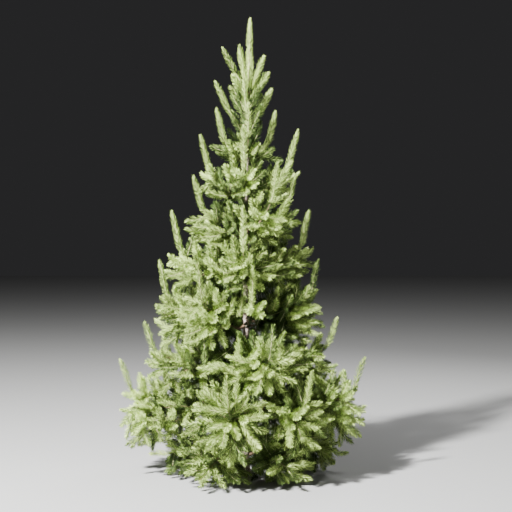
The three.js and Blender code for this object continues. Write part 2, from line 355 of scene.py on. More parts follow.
class Crown:
    """Every shoot of the tree. Boughs grow year by year along the spines of their masses, with side boughs
    at each year's end, wherever there is room in the mass and between the shoots that are already there.
    Late shoots then grow from the older wood into the room that is left."""

    # Heights here are shares of the tree's, rolls are degrees round a bough, with 0 and 180 to its sides and
    # 90 above it, and what varies does so by chance, by this much either way.

    TIERS = ("low", "middle", "top")
    TIER_ENDS = (0.28, 0.56)  # heights where the low and middle tiers end
    DEEPEST = 2  # order of the finest twigs
    SPINE_STEPS = 5  # in each year's growth of a bough
    TRUNK_STEPS = 6  # in each year's growth of the trunk

    # Room
    CELL = 0.05  # size of the cells in which shoots look for their neighbours
    CLEAR = 0.035  # of the ground
    GAPS = (1.0, 0.7, 0.45)  # shares of the gap at a shoot's tip and at the two points before it
    OLD_GAP = 0.6  # share of the gap that older years keep
    LOOSE = 0.4  # how fast the fill grows with height in the upper half
    TRIES = 3  # to find room for a shoot
    SHORTER = 0.9  # length of each next try, as a share
    TRY_TURNS = 0.25  # how far its direction varies
    # The stretch of the trunk that shows between the boughs at the front, and the opening's half width.
    OPENING = (0.308, 0.366)
    OPENING_HALF = 0.03

    # Side boughs: the roll and strength of each one at the candle's foot and at an older year's end, and how
    # far their places and rolls vary.
    STAR = ((4, 1.0), (176, 1.0), (92, 0.8), (268, 0.9), (228, 0.9), (312, 0.9))
    WHORL = ((0, 1.0), (180, 1.0), (52, 0.9), (128, 0.9), (242, 0.85), (298, 0.85))
    STAR_SHIFT = 0.008
    STAR_OPENS = math.radians(8)  # how much wider its forks are
    WHORL_SHIFT = 0.006
    ROLLS = 16
    # The weaker ones along a year's growth: their places as shares of it, their rolls and their strength.
    WEAK_PLACES = (0.3, 0.6)
    WEAK_SHIFT = 0.1
    WEAK_ROLL = (10, 170, 60, 120, 225, 315)
    WEAK_ROLLS = 25
    WEAK = 0.8
    # The fork near the ground, as a share of the usual one, how much of it is lost up to the top, and how
    # far it varies, in radians.
    FORK = 1.06
    FORK_CLOSES = 0.26
    FORKS = 0.1
    # This year's shoot of a side bough, as a share of what its strength gives: the share before any year
    # has passed, what each year takes away, and what is always left. Then how far the shoot's length
    # varies, and its limits.
    YOUNG = 1.05
    AGEING = 0.05
    AGED = 0.7
    UNEVEN = 0.2
    SIDE = (0.16, 0.25)

    # Twigs
    TWIG_YEAR = 0.75  # an older year's growth of a side bough, as a share of a bough's
    YEARS_VARY = 0.2
    LIFT = 0.06  # how far this year's shoots bend upwards near the ground
    LIFT_GROWS = 0.2  # how much more they do at the top
    OLD_LIFT = 0.3  # share of the bend that older years keep
    WAVER = 0.12  # bend out of the twig's own plane
    LINE_STEPS = 4  # in each year's growth of a twig
    # The pairs of twigs on a year's growth: the point on its line, their length as a share of the parent's
    # shoot and their chance. Then how far their forks, their lean out of the plane and their length vary.
    PAIRS = ((-1, 0.88, 1.0), (1, 0.7, 0.4))
    PAIR_FORKS = 0.12
    PAIR_LEANS = 0.35
    PAIR_LENGTHS = 0.15
    PAIR_YEARS = 2  # the most that a pair's twigs have

    # Late shoots
    PATIENCE = 800  # how many fail, one after another, before their mass is full
    LATE = (0.13, 0.28)  # shortest and longest
    LATE_FORKS = math.radians(36)  # how far their forks may be from the usual one
    LATE_SAG = 0.07  # of their middle, as a share of their length
    LATE_STEPS = (0, 0.25, 0.5, 0.75, 1)

    # The trunk
    NEEDLED = (0.56, 0.63, 0.70, 0.765)  # heights of its older years' ends, from where it still has needles
    # The shoots between its whorls: the height where they start, and for each stretch of the trunk its upper
    # end, the way up from a shoot to the next, their rise, their length and their years.
    BETWEEN_FOOT = 0.08
    BETWEEN = ((0.62, 0.014, 0.9, 0.15, 3), (0.83, 0.009, 1.2, 0.18, 1))
    BETWEEN_STEPS = 0.3  # how far the way up to the next one varies, as a share
    BETWEEN_TURN = math.radians(137.5)  # from a shoot to the next
    BETWEEN_TURNS = 0.4  # how far the turn varies, in radians
    BETWEEN_RISES = 0.3
    BETWEEN_LENGTHS = 0.03
    BETWEEN_DEPTH = 0.7  # where they start, as a share of the trunk's radius

    # Light: the radius of the crown's outline at its top, as a share of the height, and how fast it widens
    # downwards. The light falls evenly from 1 at the outline towards -SHADE at the trunk, and stops at 0.
    # This light sets the painted shade in the needles' tints.
    OUTLINE = 0.02
    WIDENS = 0.28
    SHADE = 0.35

    def __init__(self, growth):
        self.growth = growth
        self.shoots = []
        self.taken = {}
        self.masses = [Mass(node) for node in MASSES]
        self.nodes = {tier: [] for tier in self.TIERS}
        for mass in self.masses:
            self.nodes[self.tier_of(mass.foot.z)].append(mass.node)
        self.nodes["top"].append("leader_foliage")
        self.wood = {mass.node: [] for mass in self.masses}
        self.grow_leader()
        for grow in (self.grow_spine, self.grow_star, self.grow_whorls, self.grow_internodes):
            for mass in self.masses:
                self.start(mass.node + grow.__name__, mass)
                grow()
        self.grow_between()
        for mass in self.masses:
            self.start(mass.node + "late", mass)
            self.grow_late()

    def start(self, key, mass=None):
        """Starts the chance draws of one kind of growth, in a mass or on the trunk."""
        self.random = random.Random(f"{self.growth.seed} {key}")
        self.mass = mass
        self.tier = self.tier_of(mass.foot.z) if mass else "top"

    def tier_of(self, z):
        return self.TIERS[sum(z >= end * TOP for end in self.TIER_ENDS)]

    def vary(self, amount):
        return self.random.uniform(-amount, amount)

    def years_of(self, mass):
        """The ages of the bough's nodes and their places on its spine, oldest first."""
        count = max(1, round(mass.knee / self.growth.internode))
        return [(count - i, mass.knee * (i + 1) / count) for i in range(count)]

    def grow_spine(self):
        spine = self.mass.spine
        steps = self.SPINE_STEPS
        start = 0.0
        for age, end in [*self.years_of(self.mass), (0, spine.length)]:
            self.keep([spine.at(start + (end - start) * i / steps) for i in range(steps + 1)], age, 0)
            start = end

    def grow_star(self):
        """The side shoots at the foot of the candle."""
        for roll, strength in self.STAR:
            place = self.mass.knee + self.vary(self.STAR_SHIFT)
            self.grow_side(place, roll + self.vary(self.ROLLS), 1, strength, self.STAR_OPENS)

    def grow_whorls(self):
        """The side boughs at the end of each older year's growth."""
        for age, place in reversed(self.years_of(self.mass)):
            if age > 1:
                for roll, strength in self.WHORL:
                    shifted = place + self.vary(self.WHORL_SHIFT)
                    self.grow_side(shifted, roll + self.vary(self.ROLLS), age, strength)

    def grow_internodes(self):
        """The weaker side shoots along each year's growth."""
        start = 0.0
        for age, end in self.years_of(self.mass):
            for share in self.WEAK_PLACES:
                roll = self.random.choice(self.WEAK_ROLL) + self.vary(self.WEAK_ROLLS)
                place = start + (end - start) * (share + self.vary(self.WEAK_SHIFT))
                self.grow_side(place, roll, max(1, age - 1), self.WEAK)
            start = end

    def grow_side(self, place, roll, years, strength, opening=0.0):
        """A side bough of so many years, at a roll round the bough."""
        spine = self.mass.spine
        along = spine.direction(place)
        turn = math.radians(roll)
        away = self.mass.side * math.cos(turn) + along.cross(self.mass.side) * math.sin(turn)
        fork = self.growth.fork * (self.FORK - self.FORK_CLOSES * spine.at(place).z / TOP)
        fork = fork + opening + self.vary(self.FORKS)
        direction = along * math.cos(fork) + away * math.sin(fork)
        left = max(self.AGED, self.YOUNG - self.AGEING * years)
        last = self.mass.candle * self.growth.side_share * strength * left
        last = min(max(last * (1 + self.vary(self.UNEVEN)), self.SIDE[0]), self.SIDE[1])
        self.grow_axis(spine.at(place), direction, direction.cross(along).normalized(), years, last, 1)

    def grow_axis(self, point, direction, normal, years, last, order):
        """A twig that grows on year by year, forking in its own plane at each year's end. With no room for
        all its years, it has fewer."""
        lines = None
        while years and not lines:
            lines = self.lay_axis(point, direction, normal, years, last)
            years -= 1
        ages = range(len(lines) - 1, -1, -1) if lines else ()
        for age, line in zip(ages, lines or ()):
            self.keep(line, age, order)
        for age, line in zip(ages, lines or ()):
            if age and order < self.DEEPEST:
                self.grow_forks(line, normal, age, last, order)

    def lay_axis(self, point, direction, normal, years, last):
        """The lines of a twig's years, or None if there is no room for one of them."""
        lift = self.LIFT + self.LIFT_GROWS * point.z / TOP
        lines = []
        for age in range(years - 1, -1, -1):
            length = last
            if age:
                length = self.growth.internode * self.TWIG_YEAR * (1 + self.vary(self.YEARS_VARY))
            bend = UP * (self.OLD_LIFT * lift if age else lift) + normal * self.vary(self.WAVER)
            line = self.find_room(point, direction, bend, length, age)
            if line is None:
                return None
            lines.append(line)
            point = line[-1]
            direction = (line[-1] - line[-2]).normalized()
        return lines

    def grow_forks(self, line, normal, age, last, order):
        """The pair of twigs at a year's end, and weaker ones along it."""
        direction = (line[-1] - line[-2]).normalized()
        for turn in (1, -1):
            for place, share, chance in self.PAIRS:
                if self.random.random() > chance:
                    continue
                fork = turn * (self.growth.fork + self.vary(self.PAIR_FORKS))
                aim = Matrix.Rotation(fork, 3, normal) @ direction + normal * self.vary(self.PAIR_LEANS)
                length = last * share * (1 + self.vary(self.PAIR_LENGTHS))
                years = min(age, self.PAIR_YEARS)
                self.grow_axis(line[place], aim.normalized(), normal, years, length, order + 1)

    def grow_late(self):
        """Late shoots, from older wood into what room is left in the mass."""
        misses = 0
        while misses < self.PATIENCE:
            misses += 1
            tip = self.mass.spot(self.random)
            line = self.reach(tip)
            if line and self.fits(line, 0):
                self.keep(line, 0, 2)
                misses = 0

    def reach(self, tip):
        """The line of a shoot from the mass's own older wood to a tip, at a side shoot's usual angle."""
        best = None
        for point, along in self.wood[self.mass.node]:
            out = tip - point
            if not self.LATE[0] < out.length < self.LATE[1]:
                continue
            angle = out.angle(along)
            miss = abs(angle - self.growth.fork)
            if miss < self.LATE_FORKS and (best is None or miss < best[0]):
                best = miss, point, out
        if best is None:
            return None
        _, point, out = best
        sag = UP * -self.LATE_SAG * out.length
        return [point + out * t + sag * 4 * t * (1 - t) for t in self.LATE_STEPS]

    def find_room(self, point, direction, bend, length, age):
        """The line of one year's growth, turned a little or shortened until it fits, or None."""
        steps = self.LINE_STEPS
        for _ in range(self.TRIES):
            line = [point]
            heading = direction.copy()
            for _ in range(steps):
                heading = (heading + bend / steps).normalized()
                line.append(line[-1] + heading * (length / steps))
            if self.fits(line, age):
                return line
            length *= self.SHORTER
            direction = (direction + Vector([self.vary(self.TRY_TURNS) for _ in range(3)])).normalized()
        return None

    def fits(self, line, age):
        """Whether a line keeps clear of the ground, of the opening and of other shoots, inside its mass."""
        tip = line[-1]
        if min(p.z for p in line) < self.CLEAR or any(self.in_opening(p) for p in line):
            return False
        fill = self.growth.fill + self.LOOSE * max(0.0, tip.z / TOP - 0.5)
        if self.mass and self.mass.crowding(tip) > fill:
            return False
        gap = self.growth.gap * (self.OLD_GAP if age else 1.0)
        return all(self.free(point, gap * share) for point, share in zip(reversed(line), self.GAPS))

    def in_opening(self, point):
        """Whether a point stands between the camera and the stretch of the trunk that shows."""
        low, high = (share * TOP for share in self.OPENING)
        out = point - trunk().centre(point.z)
        in_front = out.y < -2 * trunk().radius(point.z)
        return low < point.z < high and abs(out.x) < self.OPENING_HALF and in_front

    def cell(self, point):
        return tuple(int(c // self.CELL) for c in point)

    def free(self, point, gap):
        """Whether every shoot so far is further than a gap from a point."""
        x, y, z = self.cell(point)
        near = ((x + i, y + j, z + k) for i in (-1, 0, 1) for j in (-1, 0, 1) for k in (-1, 0, 1))
        return all((point - other).length > gap for key in near for other in self.taken.get(key, ()))

    def keep(self, line, age, order):
        """Adds a shoot, marks the room that it takes, and notes older wood that late shoots may grow from."""
        self.shoots.append(Shoot(line, age, order, self.tier))
        for a, b in zip(line[1:], line[2:]):
            for point in ((a + b) / 2, b):
                self.taken.setdefault(self.cell(point), []).append(point)
            if age and self.mass:
                self.wood[self.mass.node].append((b, (b - a).normalized()))

    def openness(self, shoot):
        """How far out in the light a shoot stands, from 0 at the trunk to 1 at the crown's outside."""
        if shoot.order <= 0 and shoot.age == 0:
            return 1.0
        tip = shoot.points[-1]
        out = (tip - trunk().centre(tip.z)).length
        edge = self.OUTLINE * TOP + self.WIDENS * (TOP - tip.z)
        return min(1.0, max(0.0, (1 + self.SHADE) * out / edge - self.SHADE))

    def grow_leader(self):
        """This year's growth of the trunk, and the years below it that still have needles."""
        self.start("leader")
        whorl = max(mass.foot.z for mass in self.masses)
        ends = [*(height * TOP for height in self.NEEDLED), whorl, trunk().top]
        steps = self.TRUNK_STEPS
        for number, (low, high) in enumerate(zip(ends, ends[1:])):
            line = [trunk().centre(low + (high - low) * i / steps) for i in range(steps + 1)]
            self.keep(line, len(ends) - 2 - number, -1)

    def grow_between(self):
        """The shoots on the trunk between its whorls."""
        self.start("between")
        z = self.BETWEEN_FOOT * TOP
        turn = 0.0
        for end, step, rise, length, years in self.BETWEEN:
            while z < end * TOP:
                z += step * (1 + self.vary(self.BETWEEN_STEPS))
                turn += self.BETWEEN_TURN + self.vary(self.BETWEEN_TURNS)
                away = Vector((math.cos(turn), math.sin(turn), 0))
                direction = (away + UP * (rise + self.vary(self.BETWEEN_RISES))).normalized()
                start = trunk().centre(z) + away * trunk().radius(z) * self.BETWEEN_DEPTH
                normal = direction.cross(away.cross(UP)).normalized()
                last = length + self.vary(self.BETWEEN_LENGTHS)
                self.grow_axis(start, direction, normal, years, last, 1)


@functools.cache
def crown():
    return Crown(bpy.context.scene.spruce_growth)


# Geometry Nodes


class Tree:
    """A Geometry Nodes tree under construction."""

    def __init__(self, name, **inputs):
        self.tree = bpy.data.node_groups.new(name, "GeometryNodeTree")
        self.tree.interface.new_socket("Geometry", in_out="OUTPUT", socket_type="NodeSocketGeometry")
        self.tree.interface.new_socket("Geometry", in_out="INPUT", socket_type="NodeSocketGeometry")
        for label, kind in inputs.items():
            name = label.replace("_", " ").capitalize()
            self.tree.interface.new_socket(name, in_out="INPUT", socket_type="NodeSocket" + kind)
        self.source = self.tree.nodes.new("NodeGroupInput")

    def add(self, kind, modes=None, **sockets):
        """A node, with its modes, and its inputs linked or set by socket name or number."""
        node = self.tree.nodes.new(kind)
        for key, value in (modes or {}).items():
            setattr(node, key, value)
        for key, value in sockets.items():
            self.feed(node, key.replace("_", " "), value)
        return node

    def feed(self, node, key, value):
        """Links or sets one input of a node, by its name, or by its number as in0, in1 and so on."""
        if key.startswith("in") and key[2:].isdigit():
            socket = node.inputs[int(key[2:])]
        else:
            socket = next(s for s in node.inputs if s.name.lower() == key.lower() and s.enabled)
        if isinstance(value, bpy.types.NodeSocket):
            self.tree.links.new(value, socket)
        elif isinstance(value, bpy.types.Node):
            self.tree.links.new(next(s for s in value.outputs if s.enabled), socket)
        else:
            socket.default_value = value

    def math(self, operation, a, b=0.0):
        return self.add("ShaderNodeMath", {"operation": operation}, in0=a, in1=b).outputs[0]

    def value(self, label):
        """An input of the whole tree."""
        return self.source.outputs[label]

    def attribute(self, name):
        """A number that the lines carry on their points."""
        node = self.add("GeometryNodeInputNamedAttribute", {"data_type": "FLOAT"}, Name=name)
        return next(s for s in node.outputs if s.enabled and s.name == "Attribute")

    def jitter(self, low, high, seed):
        """A chance value between two."""
        node = self.add("FunctionNodeRandomValue", {"data_type": "FLOAT"}, Min=low, Max=high, Seed=seed)
        return next(s for s in node.outputs if s.enabled)

    def turned(self, rotation, turn):
        """A rotation with a further turn about its own axes."""
        local = {"rotation_space": "LOCAL"}
        turn = self.add("FunctionNodeEulerToRotation", Euler=turn)
        return self.add("FunctionNodeRotateRotation", local, Rotation=rotation, in1=turn)

    def end(self, geometry):
        """Ends the tree in real geometry of one material."""
        real = self.add("GeometryNodeRealizeInstances", Geometry=geometry)
        dressed = self.add("GeometryNodeSetMaterial", Geometry=real, Material=self.value("Material"))
        sink = self.tree.nodes.new("NodeGroupOutput")
        self.tree.links.new(dressed.outputs[0], sink.inputs[0])
        return self.tree


# How needles stand on their shoot
NEEDLE_TURN = math.radians(137.508)  # from a needle to the next
NEEDLE_TURNS = 0.8  # how far the turn varies, in radians
# The spread at a shoot's base, as a share of the usual one, how much of it is lost up to the tip, and the
# power of the way along that it goes by, which keeps the loss to the last stretch.
BASE_SPREAD = 1.08
SPREAD_LOST = 0.72
SPREAD_POWER = 9.0
SPREADS = (0.88, 1.12)  # least and greatest, as shares
END_SHORTER = 2.0  # how much shorter needles are at a shoot's ends, over the cube of the way from its middle
LENGTHS = (0.87, 1.1)  # least and greatest, as shares


@functools.cache
def needle_tree():
    """Needles in a close spiral round each shoot, leaning forward, and most of all at its tip."""
    t = Tree(
        "Spruce needles",
        needle="Object",
        length="Float",
        spacing="Float",
        spread="Float",
        seed="Int",
        material="Material",
    )
    curve = t.add("GeometryNodeMeshToCurve", Mesh=t.value("Geometry"))
    points = t.add("GeometryNodeCurveToPoints", {"mode": "LENGTH"}, Curve=curve, Length=t.value("Spacing"))
    along = t.attribute("along")
    size = t.attribute("size")
    seed = t.value("Seed")
    index = t.add("GeometryNodeInputIndex")
    spiral = t.math("MULTIPLY", index.outputs[0], NEEDLE_TURN)
    roll = t.math("ADD", spiral, t.jitter(-NEEDLE_TURNS, NEEDLE_TURNS, seed))
    lost = t.math("MULTIPLY", t.math("POWER", along, SPREAD_POWER), SPREAD_LOST)
    closing = t.math("SUBTRACT", BASE_SPREAD, lost)
    uneven = t.jitter(*SPREADS, t.math("ADD", seed, 1.0))
    tilt = t.math("MULTIPLY", t.value("Spread"), t.math("MULTIPLY", closing, uneven))
    rolled = t.turned(points.outputs["Rotation"], t.add("ShaderNodeCombineXYZ", Z=roll))
    aimed = t.turned(rolled, t.add("ShaderNodeCombineXYZ", X=tilt))
    from_middle = t.math("ABSOLUTE", t.math("SUBTRACT", along, 0.5))
    shorter = t.math("MULTIPLY", t.math("POWER", from_middle, 3.0), END_SHORTER)
    full = t.math("MULTIPLY", t.math("SUBTRACT", 1.0, shorter), size)
    share = t.math("MULTIPLY", full, t.jitter(*LENGTHS, t.math("ADD", seed, 2.0)))
    length = t.math("MULTIPLY", share, t.value("Length"))
    scale = t.add("ShaderNodeCombineXYZ", X=size, Y=size, Z=length)
    needle = t.add("GeometryNodeObjectInfo", {"transform_space": "ORIGINAL"}, Object=t.value("Needle"))
    needles = t.add(
        "GeometryNodeInstanceOnPoints",
        Points=points.outputs["Points"],
        Instance=needle.outputs["Geometry"],
        Rotation=aimed,
        Scale=scale,
    )
    return t.end(needles)


@functools.cache
def twig_tree():
    """Round twigs of changing thickness along lines, closed at both ends, with a rough skin."""
    t = Tree("Spruce twigs", sides="Int", radius="Float", relief="Float", grain="Float", material="Material")
    curve = t.add("GeometryNodeMeshToCurve", Mesh=t.value("Geometry"))
    thick = t.math("MULTIPLY", t.attribute("thickness"), t.value("Radius"))
    sides = t.value("Sides")
    circle = t.add("GeometryNodeCurvePrimitiveCircle", {"mode": "RADIUS"}, Resolution=sides, Radius=1.0)
    profile = circle.outputs["Curve"]
    tube = t.add("GeometryNodeCurveToMesh", Curve=curve, in1=profile, in2=thick, Fill_Caps=True)
    place = t.add("GeometryNodeInputPosition")
    rough = t.add("ShaderNodeTexNoise", Vector=place, Scale=t.value("Grain"), Detail=3.0)
    height = t.math("MULTIPLY", t.math("SUBTRACT", rough.outputs[0], 0.5), t.value("Relief"))
    normal = t.add("GeometryNodeInputNormal")
    push = t.add("ShaderNodeVectorMath", {"operation": "SCALE"}, in0=normal, in3=height)
    moved = t.add("GeometryNodeSetPosition", Geometry=tube, Offset=push)
    return t.end(moved)


@functools.cache
def bud_tree():
    """A bud at the end of each line."""
    t = Tree("Spruce buds", bud="Object", material="Material")
    curve = t.add("GeometryNodeMeshToCurve", Mesh=t.value("Geometry"))
    last = t.add("GeometryNodeCurveEndpointSelection", Start_Size=0, End_Size=1)
    tangent = t.add("GeometryNodeInputTangent")
    aim = t.add("FunctionNodeAlignRotationToVector", {"axis": "Z"}, Vector=tangent)
    bud = t.add("GeometryNodeObjectInfo", {"transform_space": "ORIGINAL"}, Object=t.value("Bud"))
    size = t.attribute("size")
    scale = t.add("ShaderNodeCombineXYZ", X=size, Y=size, Z=size)
    buds = t.add(
        "GeometryNodeInstanceOnPoints",
        Points=curve,
        Selection=last,
        Instance=bud.outputs["Geometry"],
        Rotation=aim,
        Scale=scale,
    )
    return t.end(buds)


def lines_object(name, shoots, thickness=None, size=None):
    """An object of lines, one for each shoot, with its measures on its points."""
    points, edges, along, thick, sizes = [], [], [], [], []
    for shoot in shoots:
        first = len(points)
        last = len(shoot.points) - 1
        points += shoot.points
        edges += [(first + i, first + i + 1) for i in range(last)]
        along += [i / last for i in range(last + 1)]
        thick += [thickness(shoot, i / last) if thickness else 1.0 for i in range(last + 1)]
        sizes += [size(shoot) if size else 1.0] * (last + 1)
    mesh = bpy.data.meshes.new(name)
    mesh.from_pydata(points, edges, [])
    for label, values in (("along", along), ("thickness", thick), ("size", sizes)):
        mesh.attributes.new(label, "FLOAT", "POINT").data.foreach_set("value", values)
    obj = bpy.data.objects.new(name, mesh)
    bpy.context.scene.collection.objects.link(obj)
    return obj


def grown(obj, tree, **inputs):
    """The object as what a tree makes of it: a plain mesh with no modifier left."""
    modifier = obj.modifiers.new("Growth", "NODES")
    modifier.node_group = tree
    sockets = {s.name: s.identifier for s in tree.interface.items_tree if s.in_out == "INPUT"}
    for label, value in inputs.items():
        modifier[sockets[label.replace("_", " ").capitalize()]] = value
    obj.update_tag()
    bpy.context.view_layer.update()
    evaluated = obj.evaluated_get(bpy.context.evaluated_depsgraph_get())
    mesh = bpy.data.meshes.new_from_object(evaluated)
    obj.modifiers.remove(modifier)
    old, obj.data = obj.data, mesh
    bpy.data.meshes.remove(old)
    mesh.name = obj.name
    for label in ("along", "thickness", "size"):
        if label in mesh.attributes:
            mesh.attributes.remove(mesh.attributes[label])
    return obj


def shape_object(name, points, faces):
    """A small shape that a tree repeats. It isn't in the scene."""
    mesh = bpy.data.meshes.new(name)
    mesh.from_pydata(points, [], faces)
    mesh.update()
    return bpy.data.objects.new(name, mesh)


# Materials


def principled(name, colour, roughness, **constants):
    """A plain material, with any other constants by the names of their sockets."""
    material = bpy.data.materials.new(name)
    material.use_nodes = True
    shader = material.node_tree.nodes["Principled BSDF"]
    shader.inputs["Base Color"].default_value = (*colour, 1)
    shader.inputs["Roughness"].default_value = roughness
    for key, value in constants.items():
        shader.inputs[key.replace("_", " ")].default_value = value
    return material


@functools.cache
def bark_group():
    """Scaly bark: a colour between two, a height and a roughness, all changing over the surface."""
    group = bpy.data.node_groups.new("Spruce bark", "ShaderNodeTree")
    for label, kind in (("Light", "Color"), ("Dark", "Color"), ("Scale", "Float")):
        group.interface.new_socket(label, in_out="INPUT", socket_type="NodeSocket" + kind)
    for label, kind in (("Color", "Color"), ("Height", "Float"), ("Roughness", "Float")):
        group.interface.new_socket(label, in_out="OUTPUT", socket_type="NodeSocket" + kind)
    nodes, links = group.nodes, group.links
    source, sink = nodes.new("NodeGroupInput"), nodes.new("NodeGroupOutput")
    place = nodes.new("ShaderNodeTexCoord")
    stretch = nodes.new("ShaderNodeMapping")
    stretch.inputs["Scale"].default_value = (1, 1, 0.45)
    links.new(place.outputs["Object"], stretch.inputs["Vector"])
    cells = nodes.new("ShaderNodeTexVoronoi")
    cells.feature = "DISTANCE_TO_EDGE"
    grain = nodes.new("ShaderNodeTexNoise")
    grain.inputs["Detail"].default_value = 6
    links.new(stretch.outputs["Vector"], cells.inputs["Vector"])
    links.new(stretch.outputs["Vector"], grain.inputs["Vector"])
    links.new(source.outputs["Scale"], cells.inputs["Scale"])
    links.new(source.outputs["Scale"], grain.inputs["Scale"])
    edge = nodes.new("ShaderNodeMapRange")
    edge.inputs["From Max"].default_value = 0.16
    links.new(cells.outputs["Distance"], edge.inputs["Value"])
    height = nodes.new("ShaderNodeMath")
    height.operation = "MULTIPLY"
    links.new(edge.outputs["Result"], height.inputs[0])
    links.new(grain.outputs["Fac"], height.inputs[1])
    mix = nodes.new("ShaderNodeMix")
    mix.data_type = "RGBA"
    tone = nodes.new("ShaderNodeMapRange")
    tone.inputs["From Min"].default_value = 0.1
    tone.inputs["From Max"].default_value = 0.6
    links.new(height.outputs[0], tone.inputs["Value"])
    links.new(tone.outputs["Result"], mix.inputs["Factor"])
    links.new(source.outputs["Dark"], mix.inputs["A"])
    links.new(source.outputs["Light"], mix.inputs["B"])
    rough = nodes.new("ShaderNodeMapRange")
    rough.inputs["To Min"].default_value = 0.95
    rough.inputs["To Max"].default_value = 0.72
    links.new(grain.outputs["Fac"], rough.inputs["Value"])
    links.new(mix.outputs["Result"], sink.inputs["Color"])
    links.new(height.outputs[0], sink.inputs["Height"])
    links.new(rough.outputs["Result"], sink.inputs["Roughness"])
    return group


def bark_material(name, light, dark, scale, bump):
    """Scaly bark between two colours, with so many cells in a metre and a fine relief."""
    material = principled(name, light, 0.85)
    nodes, links = material.node_tree.nodes, material.node_tree.links
    shader = nodes["Principled BSDF"]
    group = nodes.new("ShaderNodeGroup")
    group.node_tree = bark_group()
    group.inputs["Light"].default_value = (*light, 1)
    group.inputs["Dark"].default_value = (*dark, 1)
    group.inputs["Scale"].default_value = scale
    relief = nodes.new("ShaderNodeBump")
    relief.inputs["Strength"].default_value = 0.6
    relief.inputs["Distance"].default_value = bump
    links.new(group.outputs["Color"], shader.inputs["Base Color"])
    links.new(group.outputs["Roughness"], shader.inputs["Roughness"])
    links.new(group.outputs["Height"], relief.inputs["Height"])
    links.new(relief.outputs["Normal"], shader.inputs["Normal"])
    return material


# Tints of the needles, by the age of their shoot. The first go to shoots that stand far out in the light, and
# the last to those deep inside: the darker tints are painted shade.
NEEDLE_COLOURS = {
    "fresh": (
        (0.54, 0.69, 0.21),
        (0.41, 0.53, 0.15),
        (0.20, 0.285, 0.07),
        (0.095, 0.15, 0.03),
        (0.04, 0.07, 0.013),
    ),
    # Older needles are darker, as real older needles are, and darker still as painted shade, for they stand
    # deep in the crown.
    "second": ((0.11, 0.17, 0.042), (0.065, 0.105, 0.025)),
    "old": ((0.04, 0.07, 0.018), (0.025, 0.04, 0.010)),
}


def kind_of(shoot):
    """Which needles a shoot has, by its age."""
    return "fresh" if shoot.age == 0 else "second" if shoot.age == 1 else "old"


# The pieces


def finish_piece(obj, nodes):
    """Hides the frame's nodes that a piece stands for, and sets the piece on the body that it rides on."""
    if nodes:
        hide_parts(*nodes)
    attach(obj, BODY)


class SPRUCE_OT_trunk(bpy.types.Operator):
    """Make the trunk with its scaly bark, from the flat cut at ground level to its tip"""

    bl_idname = "spruce.trunk"
    bl_label = "Trunk"

    AROUND = 56  # points in a ring
    STEP = 0.005  # from a ring to the next
    LIGHT = (0.52, 0.43, 0.37)
    DARK = (0.16, 0.11, 0.08)
    PATTERN = 150  # cells of the bark's colours in a metre
    BUMP = 0.002
    # The relief: cells in a metre of its scales and of its ridges, how high the scales stand next to the
    # ridges, how far both are squeezed upwards, and the radius where the relief starts to fade.
    SCALES = 180
    RIDGES = 70
    SCALES_HEIGHT = 0.8
    SQUEEZE = 0.5
    THIN = 0.02

    def execute(self, context):
        bark = context.scene.spruce_bark
        rows = int(trunk().top / self.STEP)
        points, faces = [], []
        for row in range(rows + 1):
            z = trunk().top * (row / rows)
            centre = trunk().centre(z)
            for i in range(self.AROUND):
                turn = 2 * math.pi * i / self.AROUND
                out = Vector((math.cos(turn), math.sin(turn), 0))
                radius = trunk().outline(z, turn)
                radius += self.relief(centre + out * radius, radius) * bark.relief
                points.append(centre + out * radius)
        for row in range(rows):
            for i in range(self.AROUND):
                a = row * self.AROUND + i
                b = row * self.AROUND + (i + 1) % self.AROUND
                faces.append((a, b, b + self.AROUND, a + self.AROUND))
        faces.append(tuple(reversed(range(self.AROUND))))
        faces.append(tuple(range(rows * self.AROUND, (rows + 1) * self.AROUND)))
        mesh = bpy.data.meshes.new("trunk_bark")
        mesh.from_pydata(points, [], faces)
        mesh.materials.append(bark_material("Trunk bark", self.LIGHT, self.DARK, self.PATTERN, self.BUMP))
        obj = bpy.data.objects.new("trunk_bark", mesh)
        context.scene.collection.objects.link(obj)
        finish_piece(obj, ["trunk"])
        return {"FINISHED"}

    def relief(self, point, radius):
        """The height of the bark's scales at a point, less where the trunk is thin."""
        place = Vector((point.x, point.y, point.z * self.SQUEEZE))
        scales = noise.cell(place * self.SCALES) * self.SCALES_HEIGHT
        ridges = noise.noise(place * self.RIDGES)
        return (scales + ridges) * min(1.0, radius / self.THIN)


